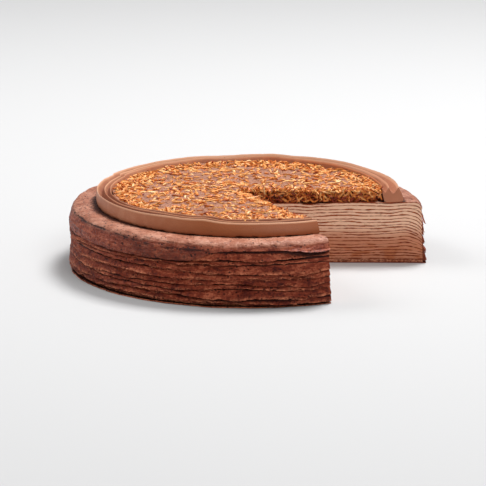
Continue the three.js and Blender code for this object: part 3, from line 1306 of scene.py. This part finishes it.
@dataclass
class PipedRing:
    """A ribbon of cream piped once round the top, with three thin lips.

    The piping bag was turned on the way round, so that on one side the lips stand closer together.
    """

    stack: Stack
    notch: Notch
    foot_outer: float = 100.2
    foot_slimmer: float = FOOT_SLIMMER
    foot_inner: float = 88.0
    height: float = 9.5
    lift: float = 1.25
    lips: tuple[Lip, ...] = (
        Lip(96.8, 0.0, 0.7, 93.6, 4.5, 0.9),
        Lip(90.8, 0.1, 1.9, 88.6, 3.9, 2.2),
        Lip(86.2, 0.0, 3.0),
    )
    groove_steps: int = 10
    # Marks of painted light: highlight on the lips, shade over the outer wall, shade in the grooves and at
    # the foot.
    mark_names: tuple[str, ...] = ("edge", "wall", "hollow")
    wall_steps: int = 7
    lip_shares: tuple[float, ...] = (0.955, 1.0)
    join_deg: float = 157.0
    swells: tuple[tuple[float, float, float], ...] = (
        (236.0, 18.0, 1.5),  # direction, width in degrees, and height
        (254.0, 5.0, 1.1),
        (100.0, 10.0, -1.0),
        (80.0, 5.0, 0.6),
    )
    seed: int = 31

    def build(self, piped: bpy.types.Material, cut: bpy.types.Material) -> None:
        """Builds and dresses the ring.

        Args:
            piped: Finish of its smooth outside.
            cut: Finish of its cut ends.
        """
        draft = Draft()
        rows, marks = self._section()
        points = [self.notch.around(radius, self.stack.share, height) for radius, height in rows]
        shape = (len(rows), self.stack.columns)
        shades = {}
        for name in self.mark_names:
            column = np.array([mark.get(name, 0.0) for mark in marks])[:, None]
            shades[name] = np.broadcast_to(column, shape)
        degrees = np.degrees(self.stack.turn)
        # The outer wall's painted shade is lighter on the left, where more light falls; near the open end the
        # grooves' painted shade is lighter and the lips' painted highlight wider.
        shades["wall"] = shades["wall"] * (0.35 + 0.65 * ease((degrees - 212) / 50))
        opening = ease(1 - degrees / 75)
        shades["hollow"] = shades["hollow"] * (1 - 0.6 * opening)
        shades["edge"] = shades["edge"] ** (1 - 0.65 * opening)
        ids = draft.add_points(np.array(points), **shades)
        draft.add_grid(np.concatenate([ids, ids[:1]]), 0)
        draft.add_polygon(ids[:, 0], 1)
        draft.add_polygon(ids[::-1, -1], 1)
        joined("ring", draft.build("piped_swirl", [piped, cut], crease=60), Slot.PIPED, "piped_ring")

    def _section(self) -> tuple[list[tuple[Array, Array]], list[dict[str, float]]]:
        """The ribbon's outline, from its outer foot over the lips to its inner foot.

        Returns:
            Rows of radius and height for every column, and each row's marks.
        """
        way = self.stack.rim_way
        draw = np.random.default_rng(self.seed)
        turn = self.stack.turn
        degrees = np.degrees(turn)
        ground = self.stack.height - 0.2
        turned = ease((degrees - 55) / 40) * ease((258 - degrees) / 55)
        crest = ground + self.height + self.lift * np.sin(turn) + 0.4 * waver(way, 50, draw)
        for centre, width, higher in self.swells:
            crest = crest + higher * np.exp(-(((degrees - centre) / width) ** 2))
        sway = 0.45 * waver(way, 75, draw)
        step = ease((degrees - self.join_deg) / 1.0 + 0.5) - 0.5
        near_join = step * np.exp(-(((degrees - self.join_deg) / 9) ** 2))
        tops = []
        settled = ease(way / 25)
        for lip in self.lips:
            waves = (0.28 * waver(way, 30, draw) + 0.1 * waver(way, 9, draw)) * settled
            join = near_join * draw.uniform(0.8, 1.8)
            level = crest - lip.drop + (0.28 * waver(way, 24, draw) + 0.08 * waver(way, 6, draw)) * settled
            tops.append((lip.radius + lip.turned * turned + sway + waves - join, level - join * 0.5))
        slim = self.foot_slimmer * np.exp(-(((degrees - LOW_FOOT_DEG) / LOW_FOOT_SPREAD_DEG) ** 2))
        foot = self.foot_outer - slim + 0.3 * waver(way, 50, draw) - near_join
        rows, marks = self._wall(foot, ground, *tops[0], bulge=0.55, up=True)
        for number, lip in enumerate(self.lips[:-1]):
            radius = lip.groove_radius + lip.groove_turned * turned + sway
            level = crest - lip.groove_depth + turned * 0.8 + 0.15 * waver(way, 20, draw)
            more, shades = self._groove(tops[number], (radius, level), tops[number + 1])
            rows += more
            marks += shades
        inner = self.foot_inner + sway * 0.5
        more, shades = self._wall(inner, ground - 0.4, *tops[-1], bulge=-0.4, up=False)
        return rows + more, marks + shades

    def _wall(
        self, foot: Array, ground: float, tip: Array, crest: Array, bulge: float, up: bool
    ) -> tuple[list, list]:
        """One side wall of the ribbon, with painted shade at its foot and a painted highlight on its lip; the
        outer wall carries painted shade.

        Args:
            foot: Radius of its foot.
            ground: Height of its foot.
            tip: Radius of its lip.
            crest: Height of its lip.
            bulge: How far its middle stands out.
            up: Whether the rows go up rather than down.

        Returns:
            Rows of radius and height, and their marks.
        """
        outer = 1.0 if up else 0.0
        way = self.stack.rim_way
        draw = np.random.default_rng(self.seed + 1)
        inwards = math.copysign(1.0, bulge)
        ragged = 0.4 * waver(way, 3.4, draw) + 0.34 * waver(way, 1.4, draw)
        rows = [(foot - 1.7 * inwards, ground + 0 * foot), (foot - 1.2 * inwards, ground + 0.35 + ragged)]
        marks = [{"edge": 0.0, "hollow": 1.0, "wall": outer}, {"edge": 0.0, "hollow": 1.0, "wall": outer}]
        shares = [step / self.wall_steps for step in range(self.wall_steps)] + list(self.lip_shares)
        for step, share in enumerate(shares):
            swell = bulge * math.sin(math.pi * share**0.7)
            base = ground + 0.75 + ragged * (1 - share) ** 3
            rows.append((foot + (tip - foot) * share**1.25 + swell, base + (crest - base) * share))
            lip = max(0.0, 1 - 0.5 * (len(shares) - 1 - step))
            marks.append({"edge": lip, "hollow": max(0.0, 0.6 - share * 8), "wall": outer * (1 - lip)})
        if not up:
            rows.reverse()
            marks.reverse()
        return rows, marks

    def _groove(self, lip: tuple, groove: tuple, following: tuple) -> tuple[list, list]:
        """The groove between two lips, steep at the lips and round at the bottom, with painted shade darkest
        at its bottom.

        Args:
            lip: Radius and height of the lip it leaves.
            groove: Radius and height of its bottom.
            following: Radius and height of the lip it meets.

        Returns:
            Rows of radius and height, and their marks.
        """
        falling = self._flank(lip, groove, shaded=False)
        rising = self._flank(following, groove, shaded=True)[::-1]
        bottom = [(*groove, {"hollow": 1.0})]
        both = falling[1:] + bottom + rising
        return [(radius, height) for radius, height, _ in both], [mark for _, _, mark in both]

    def _flank(self, lip: tuple, groove: tuple, shaded: bool) -> list[tuple[Array, Array, dict[str, float]]]:
        """One side of a groove, from its lip down, with a painted highlight at the lip and painted shade
        below it, darker where it faces outwards.
        """
        rows = []
        for step in range(self.groove_steps):
            depth = (step / self.groove_steps) ** 1.6
            share = 1 - (1 - depth) ** 0.6
            radius = lip[0] + (groove[0] - lip[0]) * share
            height = lip[1] + (groove[1] - lip[1]) * depth
            shade = min(1.0, depth * 3.5) if shaded else 0.85 * depth**1.8
            marks = {"edge": max(0.0, 1 - depth / (0.2 if shaded else 0.42)), "hollow": shade}
            rows.append((radius, height, marks))
        return rows


# The heap of shreds ----------------------------------------------------------------------------


@dataclass
class Heap:
    """A bed of cream inside the ring and the baked shreds in it, on it and at its cut faces."""

    stack: Stack
    notch: Notch
    radius: float = 87.6
    surface: float = 47.4
    columns: int = 300
    rings: int = 80
    wall_steps: int = 7
    set_back: tuple[float, float] = (3.2, 1.4)
    lying: int = 1420
    by_ring: int = 740
    by_cut: int = 220
    standing: int = 150
    at_cut: tuple[int, int] = (430, 200)
    table_reach: float = 100.0
    table_step: float = 0.5
    seed: int = 47

    def __post_init__(self) -> None:
        """Prepares the bed's relief and the mesh that takes all shreds."""
        self.shreds = Draft()
        self.draw = np.random.default_rng(self.seed)
        grid = np.arange(-self.table_reach, self.table_reach + 1, self.table_step)
        x, y = np.meshgrid(grid, grid, indexing="ij")
        coarse = 0.4 * dapple(x, y, 13, self.draw) + 0.3 * dapple(x, y, 4.5, self.draw)
        self.relief = coarse + 0.2 * dapple(x, y, 1.8, self.draw)
        self.patches = 0.55 * dapple(x, y, 15, self.draw) + 0.6 * dapple(x, y, 6, self.draw)

    def _pick(self, table: Array, x: Array, y: Array) -> Array:
        """Values of a table at places."""
        i = np.clip(((x + self.table_reach) / self.table_step).round().astype(int), 0, len(table) - 1)
        j = np.clip(((y + self.table_reach) / self.table_step).round().astype(int), 0, len(table) - 1)
        return table[i, j]

    def top(self, x: Array, y: Array) -> Array:
        """Height of the bed at places."""
        near_ring = ease((np.hypot(x, y) - (self.radius - 13)) / 11)
        return self.surface + self._pick(self.relief, x, y) + 0.5 * near_ring

    def build_bed(self, cream: bpy.types.Material) -> None:
        """Builds and dresses the bed of cream."""
        draft = Draft()
        share = np.linspace(0, 1, self.columns)
        back = self._backed_tip()
        parts = np.linspace(0, 1, self.rings) ** 0.8
        rim = self._backed_rim(self.notch.around(self.radius, share, self.surface)[:, :2], share)
        flat = back + parts[1:, None, None] * (rim - back)
        x, y = flat[..., 0], flat[..., 1]
        bed = draft.add_points(np.stack([x, y, self.top(x, y)], -1))
        centre = draft.add_points(np.array([[back[0], back[1], float(self.top(back[0], back[1]))]]))
        draft.add_faces(np.stack([np.full(self.columns - 1, centre[0]), bed[0, :-1], bed[0, 1:]], -1))
        draft.add_grid(bed)
        border = np.concatenate([centre, bed[:, 0], bed[-1, 1:-1], bed[::-1, -1]])
        points = np.concatenate(draft.points)[border]
        ground = self._ground(points[:, 0], points[:, 1])
        rows = [border]
        for step in range(1, self.wall_steps + 1):
            part = step / self.wall_steps
            lower = points.copy()
            lower[:, 2] = points[:, 2] + (ground - points[:, 2]) * part
            jitter = self.draw.uniform(-0.4, 0.4, (len(points), 2)) * (0 if step == self.wall_steps else 1)
            inner = np.hypot(points[:, 0], points[:, 1]) < self.radius - 1.5
            lower[:, :2] += jitter * inner[:, None]
            # Painted shade on the bed's side walls, darker further down.
            rows.append(draft.add_points(lower, hollow=0.35 + 0.65 * part))
        wall = np.stack(rows)
        draft.add_grid(np.concatenate([wall, wall[:, :1]], 1))
        draft.add_polygon(wall[-1])
        joined("heap", draft.build("crunch_bed", [cream], crease=70), Slot.CRUNCH, "crunch_heap")

    def _backed_tip(self) -> Array:
        """The bed's tip, set back from both cut faces."""
        front, rear = (self.notch.outward(side) for side in Side)
        tip = np.array([self.notch.tip_x, self.notch.tip_y])
        return tip - front * self.set_back[0] - rear * self.set_back[1]

    def _backed_rim(self, rim: Array, share: Array) -> Array:
        """The bed's rim, set back from both cut faces at its ends."""
        shift = np.zeros_like(rim)
        for side, near in ((Side.FRONT, ease(1 - share * 30)), (Side.REAR, ease(1 - (1 - share) * 30))):
            shift -= self.notch.outward(side) * (self.set_back[side.value] * near)[:, None]
        return rim + shift

    def _ground(self, x: Array, y: Array) -> Array:
        """Height of the top crepe under places of the bed."""
        reach = np.hypot(x - self.notch.tip_x, y - self.notch.tip_y)
        return self.stack.height - self.stack.sag * np.clip(1 - reach / 105, 0, 1) - 0.35

    def build_shreds(self, finish: bpy.types.Material) -> None:
        """Builds and dresses the shreds on the bed, at its edges and in its cut faces."""
        self._lying()
        self._by_ring()
        self._standing()
        for side in Side:
            self._in_cut(side)
        joined("shreds", self.shreds.build("crunch_shreds", [finish], crease=60), Slot.CRUNCH)

    def _scatter(self, count: int) -> tuple[Array, Array]:
        """Random places on the bed, fewer on its bare patches.

        Args:
            count: How many.

        Returns:
            Their x and y.
        """
        x = self.draw.uniform(-self.radius - 2, self.radius, count * 8)
        y = self.draw.uniform(-self.radius, self.radius, count * 8)
        inside = (self._reach(x, y) < self.radius - 1.5) & ~self._in_notch(x, y)
        chance = 0.62 + 0.38 * self._pick(self.patches, x, y)
        inside &= self.draw.uniform(0, 1, len(x)) < chance
        chosen = np.flatnonzero(inside)[:count]
        return x[chosen], y[chosen]

    def _reach(self, x: Array, y: Array) -> Array:
        """Nominal radius of places, on a cake that is wider on one side."""
        radius = np.hypot(x, y)
        cosine = x / np.maximum(radius, 1)
        return radius / (1 + self.notch.widening * (1 - cosine) / 2)

    def _in_notch(self, x: Array, y: Array) -> Array:
        """Whether places lie in the notch."""
        inside = np.ones(np.shape(x), bool)
        for side in Side:
            outward = self.notch.outward(side)
            inside &= (x - self.notch.tip_x) * outward[0] + (y - self.notch.tip_y) * outward[1] > -0.4
        return inside

    def _lying(self) -> None:
        """Shreds that lie on the bed, fewer on its bare patches and more by the cuts."""
        x, y = self._scatter(self.lying)
        near_x, near_y = self._near_cuts(self.by_cut)
        x = np.concatenate([x, near_x])
        y = np.concatenate([y, near_y])
        self._laid(x, y, self.draw.uniform(-0.1, 0.5, len(x)), 0.08)

    def _by_ring(self) -> None:
        """Shreds heaped against the inside of the ring."""
        share = self.draw.uniform(0.004, 0.996, self.by_ring)
        inwards = self.draw.uniform(0, 1, self.by_ring) ** 1.5 * 11
        places = self.notch.around(self.radius - 2.3 - inwards, share, self.surface)
        lift = self.draw.uniform(0.1, 1.3, self.by_ring) * (1 - inwards / 16)
        self._laid(places[:, 0], places[:, 1], lift, 0.24)

    def _laid(self, x: Array, y: Array, lift: Array, tilted: float) -> None:
        """Shreds that lie about level.

        Args:
            x: Places.
            y: Places.
            lift: Heights above the bed.
            tilted: Spread of their slopes.
        """
        middle = np.stack([x, y, self.top(x, y) + lift], -1)
        heading = self.draw.uniform(0, 2 * math.pi, len(x))
        tilt = self.draw.normal(0, tilted, len(x))
        ahead = np.stack([np.cos(heading) * np.cos(tilt), np.sin(heading) * np.cos(tilt), np.sin(tilt)], -1)
        up = np.array([0, 0, 1.0]) + self.draw.normal(0, 0.25, (len(x), 3))
        self._strands(middle, ahead, up, longest=8.5)

    def _near_cuts(self, count: int, sides: tuple[Side, ...] = tuple(Side)) -> tuple[Array, Array]:
        """Places on the bed close to the cut faces."""
        x_parts = []
        y_parts = []
        for side in sides:
            reach = float(self.notch.reach(self.radius - 2, side))
            distance = self.draw.uniform(2, reach, count // 2)
            places = self.notch.along(distance, side, 0.0, -self.draw.uniform(0.2, 5, count // 2))
            x_parts.append(places[:, 0])
            y_parts.append(places[:, 1])
        return np.concatenate(x_parts), np.concatenate(y_parts)

    def _standing(self) -> None:
        """Shreds that stand up out of the heap, half of them near the front cut face and half by the ring."""
        x, y = self._near_cuts(self.standing, (Side.FRONT,))
        share = self.draw.uniform(0.01, 0.99, self.standing // 2)
        places = self.notch.around(self.radius - self.draw.uniform(3.0, 8, len(share)), share, self.surface)
        x = np.concatenate([x, places[:, 0]])
        y = np.concatenate([y, places[:, 1]])
        middle = np.stack([x, y, self.top(x, y) + self.draw.uniform(0.5, 1.5, len(x))], -1)
        heading = self.draw.uniform(0, 2 * math.pi, len(x))
        tilt = self.draw.uniform(0.25, 0.8, len(x))
        ahead = np.stack([np.cos(heading) * np.cos(tilt), np.sin(heading) * np.cos(tilt), np.sin(tilt)], -1)
        up = self.draw.normal(0, 1, (len(x), 3))
        self._strands(middle, ahead, up, longest=5.5, width=0.36, thick=0.24)

    def _in_cut(self, side: Side) -> None:
        """The tangle of shreds that shows in a cut face."""
        count = self.at_cut[side.value]
        reach = float(self.notch.reach(self.radius, side))
        distance = self.draw.uniform(0.5, reach - 2.2, count)
        depth = self.draw.uniform(0, 1, count) ** 0.8
        floor = self.stack.height - self.stack.sag * np.clip(1 - distance / 105, 0, 1)
        brim = self.surface - (0.8 if side is Side.REAR else 0)
        height = floor + 0.6 + (brim - floor) * self.draw.uniform(0, 1, count)
        middle = self.notch.along(distance, side, height, 0.1 - depth * self.set_back[side.value])
        ahead = np.array([*self.notch.heading(side), 0.0])
        outward = np.array([*self.notch.outward(side), 0.0])
        slope = self.draw.normal(0, 0.85, count)[:, None]
        out = self.draw.normal(0, 0.25, count)[:, None]
        line = ahead * np.cos(slope) + np.array([0, 0, 1.0]) * np.sin(slope) + outward * out
        up = outward + self.draw.normal(0, 0.5, (count, 3))
        # Darker tones low down and deep in the cut face are painted shade.
        toast_and_shade = 0.12 + 0.4 * ((height - floor) / (self.surface - floor)) ** 0.8 - 0.15 * depth
        self._strands(middle, line, up, 6.5, floor, toast_and_shade, width=0.46, thick=0.32, curl=0.45)

    def _strands(
        self,
        middle: Array,
        ahead: Array,
        up: Array,
        longest: float,
        floor: Array | None = None,
        toast_and_shade: Array | float = 0.5,
        width: float = 0.54,
        thick: float = 0.42,
        steps: int = 4,
        curl: float = 1.0,
    ) -> None:
        """Adds thin bent strands with a flat four-sided section and narrow ends.

        Args:
            middle: The middle of each strand.
            ahead: Its direction there.
            up: Roughly the direction its flat side faces.
            longest: Greatest length.
            floor: Height that no strand goes below.
            toast_and_shade: Mean tone, from 0 for toasted to 1 for pale, one for all or one for each.
            width: Half their mean width.
            thick: Half their mean thickness.
            steps: Straight parts in each strand.
            curl: How strongly they bend.
        """
        count = len(middle)
        draw = self.draw
        ahead = ahead / np.linalg.norm(ahead, axis=1, keepdims=True)
        across = np.cross(up, ahead)
        across /= np.linalg.norm(across, axis=1, keepdims=True)
        normal = np.cross(ahead, across)
        length = np.clip(draw.lognormal(math.log(4.5), 0.42, count), 1.5, longest)
        bend = draw.normal(0, 0.55 * curl, count)
        arch = draw.normal(-0.25, 0.4, count) * curl
        part = np.linspace(-0.5, 0.5, steps + 1)
        run = part[None] * length[:, None]
        side = bend[:, None] * (part[None] ** 2 - 0.08) * length[:, None] * 0.8
        rise = arch[:, None] * (part[None] ** 2 - 0.05) * length[:, None] * 0.7
        line = middle[:, None] + run[..., None] * ahead[:, None]
        line = line + side[..., None] * across[:, None] + rise[..., None] * normal[:, None]
        if floor is not None:
            line[..., 2] = np.maximum(line[..., 2], floor[:, None] + 0.3)
        widths = width * draw.uniform(0.8, 1.25, count)
        thicks = thick * draw.uniform(0.8, 1.25, count)
        taper = 1 - 0.4 * np.abs(part * 2) ** 3
        corners = []
        for a, b in ((1, 1), (-1, 1), (-1, -1), (1, -1)):
            shift = across[:, None] * (a * widths[:, None] * taper)[..., None]
            shift = shift + normal[:, None] * (b * thicks[:, None] * taper)[..., None]
            corners.append(line + shift)
        points = np.stack(corners, 2)
        tone = np.clip(toast_and_shade + draw.normal(0, 0.19, count), 0, 1)[:, None, None]
        tone = tone - 0.25 * (np.abs(part * 2) ** 3)[None, :, None]
        ids = self.shreds.add_points(points, tone=np.broadcast_to(tone, points.shape[:-1]))
        ring = np.concatenate([ids, ids[:, :, :1]], 2)
        quads = np.stack([ring[:, :-1, :-1], ring[:, :-1, 1:], ring[:, 1:, 1:], ring[:, 1:, :-1]], -1)
        self.shreds.add_faces(quads.reshape(-1, 4))
        self.shreds.add_faces(np.concatenate([ids[:, 0, ::-1], ids[:, -1]]))


# The studio ------------------------------------------------------------------------------------


@dataclass(frozen=True)
class SoftLight:
    """A square soft light that points at the cake."""

    name: str
    azimuth: float
    elevation: float
    distance: float
    size: float
    power: float

    def add(self, aim: Vector) -> None:
        """Adds the light."""
        data = bpy.data.lights.new(self.name, "AREA")
        data.size = self.size
        data.energy = self.power
        lamp = bpy.data.objects.new(self.name, data)
        turn = math.radians(self.azimuth)
        rise = math.radians(self.elevation)
        away = Vector((math.sin(turn) * math.cos(rise), -math.cos(turn) * math.cos(rise), math.sin(rise)))
        lamp.location = aim + away * self.distance
        lamp.rotation_euler = (-away).to_track_quat("-Z", "Y").to_euler()
        bpy.context.scene.collection.objects.link(lamp)


@dataclass
class Studio:
    """The floor, the lights and the camera."""

    distance: float = 1.9
    rise_deg: float = 13.82
    lens: float = 216.5
    aim_x: float = -3.64
    aim_z: float = 13.0
    floor_size: float = 9.0
    sky: float = 0.27
    lights: tuple[SoftLight, ...] = (
        SoftLight("overhead", 140, 66, 1.6, 0.6, 30),
        SoftLight("window", -105, 42, 2.4, 1.2, 22.5),
        SoftLight("front_fill", 30, 44, 3.2, 1.4, 32),
    )

    def build(self) -> None:
        """Builds the studio."""
        self._floor()
        self._sky()
        self._camera()
        aim = Vector((0, 0, 0.02))
        for light in self.lights:
            light.add(aim)

    def _floor(self) -> None:
        """A large plane just under the cake."""
        draft = Draft()
        half = self.floor_size / 2 / MM
        corners = np.array([[-half, -half, 0], [half, -half, 0], [half, half, 0], [-half, half, 0]])
        draft.add_polygon(draft.add_points(corners))
        floor = draft.build("studio_floor", [PaleFloor().material()])

    def _sky(self) -> None:
        """Even white light from all round."""
        world = bpy.data.worlds.new("studio_sky")
        world.use_nodes = True
        background = world.node_tree.nodes["Background"]
        background.inputs["Color"].default_value = (1, 1, 1, 1)
        background.inputs["Strength"].default_value = self.sky
        bpy.context.scene.world = world
        bpy.context.scene.view_settings.view_transform = "Standard"

    def _camera(self) -> None:
        """The camera, looking along +Y and a little down."""
        data = bpy.data.cameras.new("camera")
        data.lens = self.lens
        data.sensor_width = 36
        data.clip_start = 0.05
        data.clip_end = 50
        camera = bpy.data.objects.new("camera", data)
        rise = math.radians(self.rise_deg)
        aim = Vector((self.aim_x * MM, 0, self.aim_z * MM))
        camera.location = aim + Vector((0, -math.cos(rise), math.sin(rise))) * self.distance
        camera.rotation_euler = (math.pi / 2 - rise, 0, 0)
        bpy.context.scene.collection.objects.link(camera)
        bpy.context.scene.camera = camera


def corners(box: tuple) -> list[list[float]]:
    """A box as plain lists of numbers."""
    return [[float(value) for value in corner] for corner in box]


def main() -> None:
    """Builds the cake around its frame, and the studio."""
    logging.basicConfig(level=logging.INFO, format="%(name)s: %(message)s")
    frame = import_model()
    log.info("frame: %d nodes", len(frame["nodes"]))
    Studio().build()
    stack = Stack(Notch())
    side = BakedCrepe("crepe_skin")
    level = Browning(tint(130, 70, 50), tint(164, 103, 79), tint(194, 138, 115))
    # Colour of the top crepe's pores and of its painted shade.
    pore = tint(52, 14, 8)
    top = BakedCrepe("crepe_top", level=level, edge=tint(170, 96, 70), pore=pore, roughness=0.5, shine=0.26)
    crepe_cut = CutCrepe().material()
    CrepeStack(stack).build(side.material(), top.material(), crepe_cut)
    CreamLayers(stack).build(CutCream().material())
    # The ring's cream: its body, its paler tone that is also the lips' painted highlight, and the outer
    # wall's painted shade.
    piped = PipedCream("piped_cream", tint(186, 122, 92), tint(246, 192, 154), tint(148, 80, 43)).material()
    cut_tone = tint(178, 112, 81)
    piped_cut = PipedCream("piped_cut", cut_tone, tint(190, 127, 96), cut_tone, False).material()
    toppings = Notch(widening=0.0)
    PipedRing(stack, toppings).build(piped, piped_cut)
    heap = Heap(stack, toppings)
    heap.build_bed(HeapCream().material())
    heap.build_shreds(Shreds().material())


if __name__ == "__main__":
    main()
